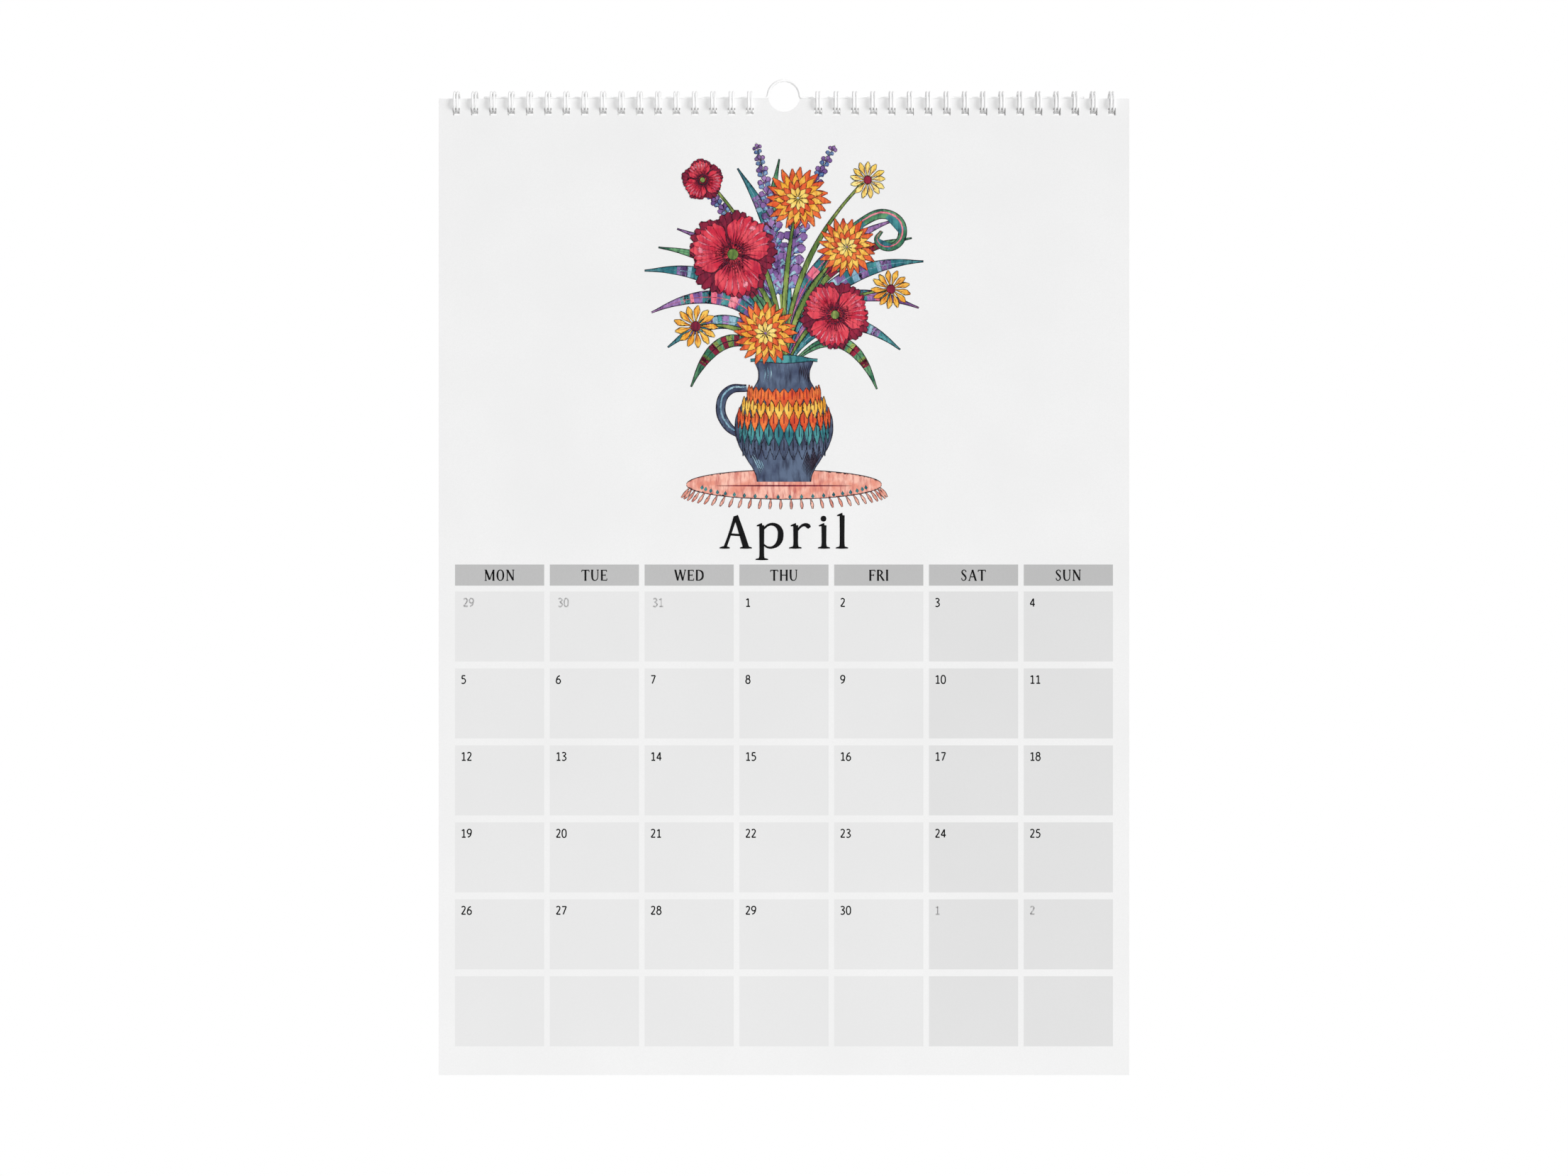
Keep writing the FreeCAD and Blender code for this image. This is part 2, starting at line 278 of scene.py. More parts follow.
def make_tooth():
    """Fine grain: a colour between a light and a dark one, and a height for bump."""
    group, given, out = new_group("tooth", ("Light", "Dark"), ("Grain", "Cloud"))
    place = group.nodes.new("ShaderNodeTexCoord").outputs["Object"]
    fine = noise(group, place, given.outputs["Grain"])
    broad = noise(group, place, given.outputs["Cloud"], 2.0)
    both = group.nodes.new("ShaderNodeMath")
    both.operation = "MULTIPLY"
    group.links.new(fine, both.inputs[0])
    group.links.new(broad, both.inputs[1])
    factor = spread_over(group, both.outputs["Value"], *TOOTH_RANGE)
    colour = mixed(group, factor, given.outputs["Dark"], given.outputs["Light"])
    group.links.new(colour, out.inputs["Color"])
    group.links.new(fine, out.inputs["Height"])
    return group


def make_wash():
    """Watercolour: pigment that pools, with streaks of the brush."""
    group, given, out = new_group("wash", ("Pale", "Full", "Deep"), ("Pools", "Streaks"))
    place = group.nodes.new("ShaderNodeTexCoord").outputs["Object"]
    turned = group.nodes.new("ShaderNodeMapping")
    turned.inputs["Rotation"].default_value = (0, BRUSH_TURN, 0)
    turned.inputs["Scale"].default_value = (1.0, 1.0, BRUSH_STRETCH)
    group.links.new(place, turned.inputs["Vector"])
    pools = noise(group, place, given.outputs["Pools"], 6.0)
    streaks = noise(group, turned.outputs["Vector"], given.outputs["Streaks"], 3.0)
    pooled = spread_over(group, pools, *POOL_RANGE)
    streaked = spread_over(group, streaks, *STREAK_RANGE)
    body = mixed(group, pooled, given.outputs["Full"], given.outputs["Pale"])
    colour = mixed(group, streaked, body, given.outputs["Deep"])
    group.links.new(colour, out.inputs["Color"])
    group.links.new(pools, out.inputs["Height"])
    return group


TOOTH = make_tooth()
WASH = make_wash()
print("shader groups:", TOOTH.name, WASH.name)

# %% [markdown]
# A material is then short: the group gives colour and height, a Bump node turns the height into a normal, and
# the Principled shader keeps its plain numbers on its own sockets. Colours are given as they look on a
# screen, from 0 to 255, and changed to the linear values that a shader wants.

# %% Materials
RELIEF = 0.05 * MM


def screen(*levels):
    """The linear colour for screen levels from 0 to 255."""
    linear = [(v / 255 / 12.92) if v <= 10 else ((v / 255 + 0.055) / 1.055) ** 2.4 for v in levels]
    return (*linear, 1)


def finish(name, group, values, roughness, bump, coat=0.0, shine=0.5):
    """A material from a shared group, with its values by socket name."""
    material = bpy.data.materials.new(name)
    material.use_nodes = True
    tree = material.node_tree
    shader = tree.nodes["Principled BSDF"]
    effect = tree.nodes.new("ShaderNodeGroup")
    effect.node_tree = group
    for key, value in values.items():
        effect.inputs[key].default_value = value
    relief = tree.nodes.new("ShaderNodeBump")
    relief.inputs["Strength"].default_value = bump
    relief.inputs["Distance"].default_value = RELIEF
    tree.links.new(effect.outputs["Color"], shader.inputs["Base Color"])
    tree.links.new(effect.outputs["Height"], relief.inputs["Height"])
    tree.links.new(relief.outputs["Normal"], shader.inputs["Normal"])
    shader.inputs["Roughness"].default_value = roughness
    shader.inputs["Coat Weight"].default_value = coat
    shader.inputs["Specular IOR Level"].default_value = shine
    return material


def grained(name, light, dark, roughness, bump, grain=1500.0, cloud=25.0, coat=0.0, shine=0.5):
    """A material with the fine tooth, between a light and a dark colour."""
    values = {"Light": screen(*light), "Dark": screen(*dark), "Grain": grain, "Cloud": cloud}
    return finish(name, TOOTH, values, roughness, bump, coat, shine)


PAPER = grained("page_paper", (240, 240, 240), (236, 236, 236), 0.75, 0.08)
BOARD = grained("grey_board", (226, 224, 219), (205, 202, 196), 0.9, 0.5, grain=900.0, cloud=60.0)
LACQUER = grained("white_lacquer", (250, 250, 250), (244, 244, 244), 0.28, 0.04, grain=700.0, coat=0.3)
FLOOR_PAINT = grained("floor_paint", (230, 230, 230), (226, 226, 226), 0.8, 0.0, grain=60.0)
floor.data.materials.append(FLOOR_PAINT)
print("materials:", len(bpy.data.materials))

# %% [markdown]
# ## The binding wire
#
# On the real calendar one wire runs through all seventeen double loops of each half. A bending machine makes
# each loop from the same few moves, and so can we: a ring of points, the wire's section, is spun through each
# bend in turn. Root bend, round the loop, round the tip, back round the loop, and a last bend onto the line
# to the next loop.

# %% Sizes of a double loop
LOOP_WIRE = 0.9 * MM
LOOP_RADIUS = 4.45 * MM
STRAND_GAP = 1.37 * MM
ROOT_BEND = 0.7 * MM
TIP_GAP = 0.1 * MM
SEAM_BACK = 0.6 * MM
LOOP_PITCH = 7.9 * MM
LOOP_FIRST = 14.7 * MM
END_STUB = 1.2 * MM
WIRE_SIDES, BEND_STEPS, RING_STEPS, TIP_STEPS = 12, 5, 40, 10

tip_bend = STRAND_GAP / 2
loop_centre = Vector((0, 0, (wire_low.z + wire_high.z) / 2))
root_reach = math.hypot(LOOP_RADIUS, ROOT_BEND)
root_angle = math.asin(SEAM_BACK / root_reach)
strand_start = root_angle + math.atan2(ROOT_BEND, LOOP_RADIUS)
tip_angle = root_angle - (LOOP_WIRE + TIP_GAP) / root_reach
strand_end = 2 * math.pi + tip_angle - math.atan2(tip_bend, LOOP_RADIUS)
half_run = LOOP_PITCH / 2 - tip_bend - ROOT_BEND
row_length = wire_high.x - wire_low.x - 2 * (tip_bend + ROOT_BEND + END_STUB)
loop_count = round(row_length / LOOP_PITCH) + 1
print(f"{loop_count} double loops a side, centre {loop_centre.z / MM:.2f} mm")

# %% [markdown]
# Blender's Spin drags a ring of points round an axis, and the wire grows behind it. The last ring stays
# selected, so each bend starts where the one before it ended.

# %% One double loop, spun from its section
def outward(angle):
    """The direction from the loops' centre, by the angle from the bottom towards the back."""
    return Vector((0, math.sin(angle), -math.cos(angle)))


def spin(steps, angle, centre, axis):
    """Spins the section, counter-clockwise for someone the axis points at. Blender counts the other way."""
    bpy.ops.mesh.spin(steps=steps, angle=-angle, center=centre, axis=axis)


def run_on(length):
    """Carries the wire straight on to the right."""
    bpy.ops.mesh.extrude_region_move(TRANSFORM_OT_translate={"value": (length, 0, 0)})


def double_loop(x):
    """One double loop, from the middle of the gap before it to the middle of the gap after."""
    start, end = outward(strand_start), outward(strand_end)
    seam = loop_centre + start * LOOP_RADIUS - ROOT_BEND * Vector((1, 0, 0)).cross(start)
    bpy.ops.object.select_all(action="DESELECT")
    bpy.ops.mesh.primitive_circle_add(
        vertices=WIRE_SIDES, radius=LOOP_WIRE / 2, location=seam + Vector((x - LOOP_PITCH / 2, 0, 0)),
        rotation=(0, math.pi / 2, 0))
    bpy.ops.object.transform_apply(location=True, rotation=True, scale=True)
    bpy.ops.object.mode_set(mode="EDIT")
    run_on(half_run)
    root = loop_centre + start * LOOP_RADIUS
    spin(BEND_STEPS, math.pi / 2, root + Vector((x - tip_bend - ROOT_BEND, 0, 0)), -start)
    spin(RING_STEPS, strand_end - strand_start, loop_centre, (1, 0, 0))
    spin(TIP_STEPS, math.pi, loop_centre + end * LOOP_RADIUS + Vector((x, 0, 0)), end)
    spin(RING_STEPS, strand_start - strand_end, loop_centre, (1, 0, 0))
    spin(BEND_STEPS, math.pi / 2, root + Vector((x + tip_bend + ROOT_BEND, 0, 0)), -start)
    run_on(half_run)
    bpy.ops.object.mode_set(mode="OBJECT")
    return bpy.context.object


loops = double_loop(LOOP_FIRST)
box = [Vector(c) for c in loops.bound_box]
spans = [max(c[i] for c in box) - min(c[i] for c in box) for i in range(3)]
print("one loop, mm:", [round(span / MM, 2) for span in spans])

# %% [markdown]
# The loop is repeated by an Array modifier whose copies are welded at the gaps. The row is then cut to the
# length of the real wire, and the other half of the binding is its mirror image.

# %% Both binding wires
WELD = 0.01 * MM
SMOOTH_UNDER = math.radians(50)


def cut_side(x, direction):
    """Cuts the wire at x and closes the cut."""
    bpy.ops.mesh.select_all(action="SELECT")
    bpy.ops.mesh.bisect(plane_co=(x, 0, 0), plane_no=(direction, 0, 0), clear_outer=True, use_fill=True)


repeat(loops, loop_count, (LOOP_PITCH, 0, 0), use_merge_vertices=True, merge_threshold=WELD)
only(loops)
bpy.ops.object.mode_set(mode="EDIT")
cut_side(wire_low.x, -1)
cut_side(wire_high.x, 1)
bpy.ops.mesh.select_all(action="SELECT")
bpy.ops.mesh.normals_make_consistent(inside=False)
bpy.ops.object.mode_set(mode="OBJECT")
bpy.ops.object.shade_smooth_by_angle(angle=SMOOTH_UNDER)
bpy.ops.object.duplicate()
left_loops = bpy.context.object
bpy.ops.object.mode_set(mode="EDIT")
bpy.ops.mesh.select_all(action="SELECT")
bpy.ops.transform.resize(value=(-1, 1, 1), center_override=(0, 0, 0))
bpy.ops.mesh.normals_make_consistent(inside=False)
bpy.ops.object.mode_set(mode="OBJECT")
dress(loops, "right_loops", LACQUER, "binding")
dress(left_loops, "left_loops", LACQUER, "binding")
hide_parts("right_twin_loop_wire")
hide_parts("left_twin_loop_wire")

# %% [markdown]
# ## Sheets
#
# A block of paper shows its sheets only at the edges, where each one casts a hair of shadow on the next. The
# month's own solid has the right outline, with its half-moon and its holes, so a copy of it is thinned a
# little and laid down once for each sheet of a block. No two sheets of a block are trimmed to exactly the
# same size.

# %% Blocks of sheets
SHEET = leaf_high.y - leaf_low.y
AIR = 0.02 * MM
TRIM = 0.22 * MM
SAME_POINT = 0.001 * MM


def one_sheet(back_face, trim):
    """A copy of the month's sheet, thinned, trimmed a little and laid with its back at a given place."""
    sheet = frame["nodes"]["month_leaf"].copy()
    sheet.data = sheet.data.copy()
    sheet.parent = None
    bpy.context.scene.collection.objects.link(sheet)
    only(sheet)
    bpy.ops.object.mode_set(mode="EDIT")
    bpy.ops.mesh.select_all(action="SELECT")
    bpy.ops.mesh.remove_doubles(threshold=SAME_POINT)
    bpy.ops.transform.resize(
        value=(1 - 2 * trim / PAGE_WIDTH, 1 - AIR / SHEET, 1 - trim / PAGE_HEIGHT),
        center_override=(0, leaf_high.y, PAGE_TOP))
    bpy.ops.transform.translate(value=(0, back_face - leaf_high.y, 0))
    bpy.ops.object.mode_set(mode="OBJECT")
    return sheet


def block_of_sheets(node, name, seed):
    """All the sheets of a block, as one piece that stands for its solid."""
    low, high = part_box(node)
    count = round((high.y - low.y) / SHEET)
    chance = random.Random(seed)
    sheets = [one_sheet(high.y - n * SHEET, chance.uniform(0, TRIM)) for n in range(count)]
    bpy.ops.object.select_all(action="DESELECT")
    for sheet in sheets:
        sheet.select_set(True)
    bpy.context.view_layer.objects.active = sheets[0]
    bpy.ops.object.join()
    block = dress(bpy.context.object, name, PAPER, "binding")
    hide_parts(node)


block_of_sheets("coming_leaves", "coming_sheets", 5)
block_of_sheets("turned_leaves", "turned_sheets", 9)
wear("month_leaf", PAPER)
wear("back_card", BOARD)
wear("hanger_wire", LACQUER)

# %% [markdown]
# ## Print: the fields
#
# Ink has next to no height, but it still lies on the paper, so each field of print is a plate a few
# thousandths of a millimetre proud of the sheet. One cell is modelled and an Array modifier repeats it across
# and down. Week-ends are a shade darker than working days.

# %% Fields of the calendar grid
INK_STEP = 0.004 * MM
INK_THICKNESS = 0.002 * MM
FIELD_LAYER, TEXT_LAYER, TITLE_LAYER = 1, 3, 34
GRID_INSET = 7.0 * MM
COLUMN_WIDTH = 38.35 * MM
COLUMN_PITCH = 40.77 * MM
BAR_TOP, BAR_HEIGHT = 200.4 * MM, 9.1 * MM
CELL_TOP, CELL_HEIGHT = 212.0 * MM, 30.1 * MM
ROW_PITCH = 33.1 * MM
DAYS, WEEKS, WORKING_DAYS = 7, 6, 5


def column_left(column):
    """How far across a column starts."""
    return -PAGE_WIDTH / 2 + GRID_INSET + column * COLUMN_PITCH


def ink(name, levels, deeper=4):
    """A flat printing ink with a trace of the paper's grain."""
    darker = [level - deeper for level in levels]
    return grained(name, levels, darker, 0.7, 0.05, grain=1100.0, shine=0.12)


def field(name, material, column, top, height, across, down):
    """A grid of equal fields, its first one at a column and a depth below the page's top edge."""
    middle = (column_left(column) + COLUMN_WIDTH / 2, PAGE_FACE - FIELD_LAYER * INK_STEP,
              PAGE_TOP - top - height / 2)
    bpy.ops.object.select_all(action="DESELECT")
    bpy.ops.mesh.primitive_plane_add(size=1, location=middle, rotation=(math.pi / 2, 0, 0))
    piece = bpy.context.object
    piece.scale = (COLUMN_WIDTH, height, 1)
    piece = settle(piece)
    repeat(piece, across, (COLUMN_PITCH, 0, 0))
    repeat(piece, down, (0, 0, -ROW_PITCH))
    modify(piece, "SOLIDIFY", thickness=INK_THICKNESS, offset=-1)
    dress(piece, name, material, "month_page")


BAR_GREY = ink("bar_grey", (190, 190, 190))
CELL_GREY = ink("cell_grey", (230, 230, 230), 2)
WEEKEND_GREY = ink("weekend_grey", (223, 223, 223), 2)
field("weekday_bars", BAR_GREY, 0, BAR_TOP, BAR_HEIGHT, DAYS, 1)
field("working_day_cells", CELL_GREY, 0, CELL_TOP, CELL_HEIGHT, WORKING_DAYS, WEEKS)
field("weekend_cells", WEEKEND_GREY, WORKING_DAYS, CELL_TOP, CELL_HEIGHT, DAYS - WORKING_DAYS, WEEKS)

# %% [markdown]
# ## Print: strokes
#
# Letters and the picture are all drawn with one tool, a brush stroke. It is a curve through a few points, and
# each point has its own half width, so a stroke can swell and taper as a pen's does. Blender makes a
# tube of it, which is then pressed flat onto the page. Each layer lies a hair in front of the one below.

# %% The brush
STEP_LENGTH = 0.9
MOST_STEPS = 8
ROUND_STEPS = 6
PRESSED = 0.0002


def steps_between(points):
    """How many short lines a curve gets from knot to knot, by the knots' distance."""
    if len(points) < 3:
        return 1
    span = sum(math.dist(a[:2], b[:2]) for a, b in zip(points, points[1:])) / (len(points) - 1)
    return max(2, min(MOST_STEPS, round(span / STEP_LENGTH)))


def add_stroke(curve, points, closed):
    """One stroke through (across, up, half width) points, all in millimetres."""
    spline = curve.splines.new("BEZIER")
    spline.bezier_points.add(len(points) - 1)
    spline.use_cyclic_u = closed
    spline.resolution_u = ROUND_STEPS if closed else steps_between(points)
    spline.radius_interpolation = "CARDINAL" if len(points) > 2 else "LINEAR"
    for knot, (across, up, half_width) in zip(spline.bezier_points, points):
        knot.co = (across * MM, up * MM, 0)
        knot.radius = half_width
        knot.handle_left_type = knot.handle_right_type = "AUTO"


def print_strokes(name, strokes, material, layer, origin=(0, 0)):
    """A layer of strokes pressed onto the page. Its origin is across and down from the top middle."""
    curve = bpy.data.curves.new(name, "CURVE")
    curve.dimensions = "3D"
    curve.twist_mode = "Z_UP"
    curve.bevel_depth = MM
    curve.bevel_resolution = 0
    curve.use_fill_caps = True
    for stroke in strokes:
        closed = stroke[0] == "ring"
        add_stroke(curve, stroke[1:] if closed else stroke, closed)
    piece = bpy.data.objects.new(name, curve)
    bpy.context.scene.collection.objects.link(piece)
    piece.rotation_euler = (math.pi / 2, 0, 0)
    piece.location = (origin[0] * MM, PAGE_FACE - layer * INK_STEP, PAGE_TOP - origin[1] * MM)
    piece.scale = (1, 1, PRESSED)
    piece = settle(piece)
    bpy.ops.object.shade_flat()
    dress(piece, name, material, "month_page")


# %% [markdown]
# ## Print: lettering
#
# The words are only what any calendar says, so they are set in letters drawn here: a plain book face with
# thick and thin strokes and small feet. Each letter is a few strokes in a box one unit high.

# %% Capital letters for the weekdays
THICK, THIN, FOOT = 0.090, 0.046, 0.036
BOWL = THICK * 0.8


def stem(x, low=0.0, high=1.0, half=THICK):
    """An upright stroke."""
    return [(x, low, half), (x, high, half)]


def bar(left, right, y):
    """A thin level stroke."""
    return [(left, y, THIN), (right, y, THIN)]


def foot(x, y, half=0.11):
    """The short foot across a stem's end."""
    return [(x - half, y, FOOT), (x + half, y, FOOT)]


ARMS = [stem(0.17), [(0.07, 0.98, FOOT), (0.62, 0.98, THIN)], bar(0.17, 0.50, 0.51)]
CAPITALS = {
    "A": (0.86, [
        [(0.12, 0, THIN), (0.43, 1.02, THIN)], [(0.42, 1.02, THICK), (0.74, 0, THICK)],
        bar(0.22, 0.63, 0.34), foot(0.12, 0), foot(0.74, 0)]),
    "D": (0.86, [
        stem(0.17),
        [(0.10, 0.985, FOOT), (0.36, 0.98, THIN), (0.66, 0.82, THICK), (0.74, 0.5, THICK),
         (0.66, 0.18, THICK), (0.36, 0.02, THIN), (0.10, 0.015, FOOT)]]),
    "E": (0.72, ARMS + [
        [(0.07, 0.02, FOOT), (0.65, 0.02, THIN)], stem(0.62, 0.82, 0.98, FOOT),
        stem(0.65, 0.02, 0.2, FOOT), stem(0.5, 0.42, 0.6, FOOT)]),
    "F": (0.68, ARMS + [foot(0.17, 0), stem(0.62, 0.82, 0.98, FOOT), stem(0.5, 0.42, 0.6, FOOT)]),
    "H": (0.88, [
        stem(0.17), stem(0.71), bar(0.17, 0.71, 0.51), foot(0.17, 0), foot(0.17, 1), foot(0.71, 0),
        foot(0.71, 1)]),
    "M": (1.06, [
        stem(0.15, half=THIN), [(0.17, 1, THICK), (0.52, 0.06, THICK)],
        [(0.52, 0.06, THIN), (0.87, 1, THIN)], stem(0.89), foot(0.15, 0), foot(0.12, 1, 0.08),
        foot(0.89, 0), foot(0.92, 1, 0.08)]),
    "I": (0.36, [stem(0.18), foot(0.18, 0), foot(0.18, 1)]),
    "N": (0.90, [
        stem(0.16, half=THIN), [(0.17, 1, THICK), (0.73, 0.02, THICK)], stem(0.73, half=THIN),
        foot(0.16, 0), foot(0.12, 1, 0.08), foot(0.73, 1)]),
    "O": (0.88, [
        ["ring", (0.43, 1.0, THIN), (0.15, 0.5, THICK), (0.43, 0.0, THIN), (0.72, 0.5, THICK)]]),
    "R": (0.80, [
        stem(0.17),
        [(0.07, 0.985, FOOT), (0.34, 0.98, THIN), (0.56, 0.76, THICK), (0.38, 0.52, THIN),
         (0.17, 0.50, THIN)],
        [(0.38, 0.50, BOWL), (0.70, 0, THICK)], foot(0.17, 0), foot(0.74, 0, 0.07)]),
    "S": (0.64, [
        [(0.50, 0.78, THIN), (0.46, 0.94, THIN), (0.28, 1.0, THIN), (0.11, 0.80, BOWL),
         (0.31, 0.53, THICK), (0.50, 0.24, BOWL), (0.31, 0.0, THIN), (0.13, 0.07, THIN),
         (0.09, 0.24, THIN)]]),
    "T": (0.84, [
        stem(0.41), bar(0.05, 0.77, 0.98), stem(0.06, 0.8, 0.98, FOOT), stem(0.76, 0.8, 0.98, FOOT),
        foot(0.41, 0)]),
    "U": (0.86, [
        [(0.16, 1, THICK), (0.16, 0.36, THICK), (0.24, 0.08, BOWL), (0.43, 0.0, THIN),
         (0.62, 0.10, THIN), (0.69, 0.38, THIN), (0.69, 1, THIN)], foot(0.16, 1), foot(0.69, 1)]),
    "W": (1.16, [
        [(0.10, 1, THICK), (0.34, 0, THICK)], [(0.34, 0, THIN), (0.58, 1, THIN)],
        [(0.56, 1, THICK), (0.82, 0, THICK)], [(0.82, 0, THIN), (1.05, 1, THIN)],
        foot(0.1, 1, 0.09), foot(0.57, 1, 0.09), foot(1.05, 1, 0.09)]),
}
print("capitals:", "".join(CAPITALS))

# %% [markdown]
# A word is set letter by letter, each one as far on as the last is wide. Here the days of the week stand in
# the middle of their bars.

# %% Setting a word in the page
def placed(strokes, scale, across, up, squeeze=1.0):
    """Strokes moved and scaled to their place, in millimetres."""
    moved = []
    for stroke in strokes:
        head = stroke[:1] if stroke[0] == "ring" else []
        moved.append(head + [(across + x * scale * squeeze, up + y * scale, half * scale)
                             for x, y, half in stroke[len(head):]])
    return moved


def set_word(word, letters, height, gap, across, up, centred=False, squeeze=1.0):
    """The strokes of a word, from its left end or its middle."""
    widths = [letters[c][0] * height * squeeze for c in word]
    x = across - (sum(widths) + gap * (len(word) - 1)) / 2 if centred else across
    strokes = []
    for c, width in zip(word, widths):
        strokes += placed(letters[c][1], height, x, up, squeeze)
        x += width + gap
    return strokes


WEEKDAYS = ("MON", "TUE", "WED", "THU", "FRI", "SAT", "SUN")
WEEKDAY_HEIGHT, WEEKDAY_GAP, WEEKDAY_BASE = 4.5, 0.25, -207.25
BLACK = ink("black_ink", (16, 16, 18), 8)

weekday_strokes = []
for column, word in enumerate(WEEKDAYS):
    middle = (column_left(column) + COLUMN_WIDTH / 2) / MM
    weekday_strokes += set_word(word, CAPITALS, WEEKDAY_HEIGHT, WEEKDAY_GAP, middle, WEEKDAY_BASE,
                                centred=True)
print_strokes("weekday_names", weekday_strokes, BLACK, TEXT_LAYER)

# %% [markdown]
# The month's name is set large, in capitals and small letters of the same kind of face. At this size the
# strokes have shape of their own: stems that swell at the foot, a bowl that is thin where it meets the stem,
# a teardrop on the r. They are drawn straight onto the page, in millimetres from its middle and from the line
# they stand on.

# %% The month's name
TITLE_BASE = 193.4
TITLE_STEM = 1.08


def title_stem(x, low, high):
    """A stem that swells at its foot."""
    return [(x, low, TITLE_STEM * 1.18), (x, low + 1.6, TITLE_STEM * 0.96),
            (x, (low + high) / 2, TITLE_STEM * 0.95), (x, high, TITLE_STEM)]


def title_foot(left, right, y):
    """A foot that is full in the middle and thin at its ends."""
    middle = (left + right) / 2
    return [(left, y, 0.22), (middle - 0.9, y + 0.2, 0.5), (middle + 0.9, y + 0.2, 0.5), (right, y, 0.22)]


def flag(x, y):
    """The slanted start of a small letter's stem."""
    return [(x - 2.1, y - 0.75, 0.26), (x - 0.9, y - 0.42, 0.52), (x + 0.25, y - 0.3, 0.8)]


LETTER_A = [
    [(-25.4, 0.2, 0.66), (-23.3, 6.0, 0.62), (-20.9, 13.6, 0.75)],
    [(-20.75, 14.0, 1.0), (-18.7, 8.0, 1.14), (-16.3, 0.3, 1.3)],
    [(-23.4, 5.95, 0.48), (-18.0, 5.6, 0.46)],
    title_foot(-27.7, -23.3, 0.1), title_foot(-18.9, -13.8, 0.1),
]
LETTER_P = [
    title_stem(-9.55, -4.8, 9.9), flag(-9.6, 10.35), title_foot(-12.2, -6.8, -4.85),
    [(-8.8, 8.3, 0.42), (-6.6, 10.05, 0.52), (-4.2, 10.2, 0.7), (-2.0, 8.5, 1.06), (-1.45, 5.3, 1.24),
     (-2.4, 2.2, 1.06), (-4.6, 0.5, 0.6), (-6.9, 0.35, 0.44), (-8.8, 1.6, 0.36)],
]
LETTER_R = [
    title_stem(5.05, 0.2, 9.9), flag(5.0, 10.35), title_foot(2.2, 7.6, 0.1),
    [(5.9, 7.8, 0.4), (7.3, 9.4, 0.5), (8.9, 10.1, 0.7), (10.4, 9.5, 1.0), (11.0, 8.75, 0.7)],
]
LETTER_I = [title_stem(17.2, 0.2, 9.9), flag(17.15, 10.35), title_foot(14.6, 19.8, 0.1),
            [(15.75, 12.7, 0.1), (16.0, 12.7, 0.8), (16.5, 12.7, 1.15), (17.0, 12.7, 1.25),
             (17.5, 12.7, 1.15), (18.0, 12.7, 0.8), (18.25, 12.7, 0.1)]]
LETTER_L = [title_stem(25.0, 0.2, 14.2), flag(24.95, 14.75), title_foot(22.3, 27.6, 0.1)]

print_strokes("month_name", LETTER_A + LETTER_P + LETTER_R + LETTER_I + LETTER_L, BLACK,
              TITLE_LAYER, (0, TITLE_BASE))

# %% [markdown]
# Day numbers are plain, narrow figures of one even thickness. The month starts on a Thursday: the last days
# of the month before and the first of the one after are printed in a lighter grey.

# %% Figures and days
EVEN = 0.078


def oval(low, high, half):
    """A closed ring upright in the middle of a figure."""
    middle = (low + high) / 2
    return ["ring", (0.25, high, EVEN), (0.25 - half, middle, EVEN), (0.25, low, EVEN),
            (0.25 + half, middle, EVEN)]


def even(*points):
    """A stroke of one even thickness."""
    return [(x, y, EVEN) for x, y in points]


FIGURES = {
    "0": (0.52, [oval(0.0, 1.0, 0.20)]),
    "1": (0.52, [even((0.08, 0.82), (0.28, 0.98)), even((0.28, 1.0), (0.28, 0.0)),
                 even((0.08, 0.03), (0.46, 0.03))]),
    "2": (0.52, [even((0.06, 0.88), (0.22, 1.0), (0.40, 0.86), (0.33, 0.52), (0.06, 0.05)),
                 even((0.05, 0.03), (0.46, 0.03))]),
    "3": (0.52, [even((0.06, 0.92), (0.24, 1.0), (0.41, 0.79), (0.18, 0.55)),
                 even((0.18, 0.55), (0.44, 0.30), (0.25, 0.0), (0.05, 0.07))]),
    "4": (0.54, [even((0.36, 0.0), (0.36, 1.0)), even((0.36, 1.0), (0.04, 0.28)),
                 even((0.03, 0.28), (0.50, 0.28))]),
    "5": (0.52, [even((0.42, 0.97), (0.12, 0.97)), even((0.12, 0.97), (0.10, 0.58)),
                 even((0.10, 0.58), (0.30, 0.60), (0.44, 0.32), (0.25, 0.0), (0.05, 0.06))]),
    "6": (0.52, [even((0.40, 0.97), (0.17, 0.80), (0.07, 0.40)), oval(0.0, 0.56, 0.20)]),
    "7": (0.50, [even((0.05, 0.97), (0.46, 0.97)), even((0.46, 0.97), (0.16, 0.0))]),
    "8": (0.52, [oval(0.56, 1.0, 0.16), oval(0.0, 0.56, 0.20)]),
    "9": (0.52, [oval(0.44, 1.0, 0.20), even((0.10, 0.03), (0.33, 0.20), (0.43, 0.60))]),
}
FIGURE_HEIGHT, FIGURE_GAP, FIGURE_SQUEEZE = 3.5, 0.22, 1.24
FIGURE_LEFT, FIGURE_DROP, PALE_SHIFT = 2.6, 6.5, 0.9
DAYS_IN_MONTH, DAYS_BEFORE, FIRST_WEEKDAY = 30, 31, 3
PALE = ink("pale_ink", (204, 204, 204))


def day_at(place):
    """The day number in a cell counted from the first, and whether it belongs to this month."""
    day = place - FIRST_WEEKDAY + 1
    if day < 1:
        return DAYS_BEFORE + day, False
    return (day, True) if day <= DAYS_IN_MONTH else (day - DAYS_IN_MONTH, False)


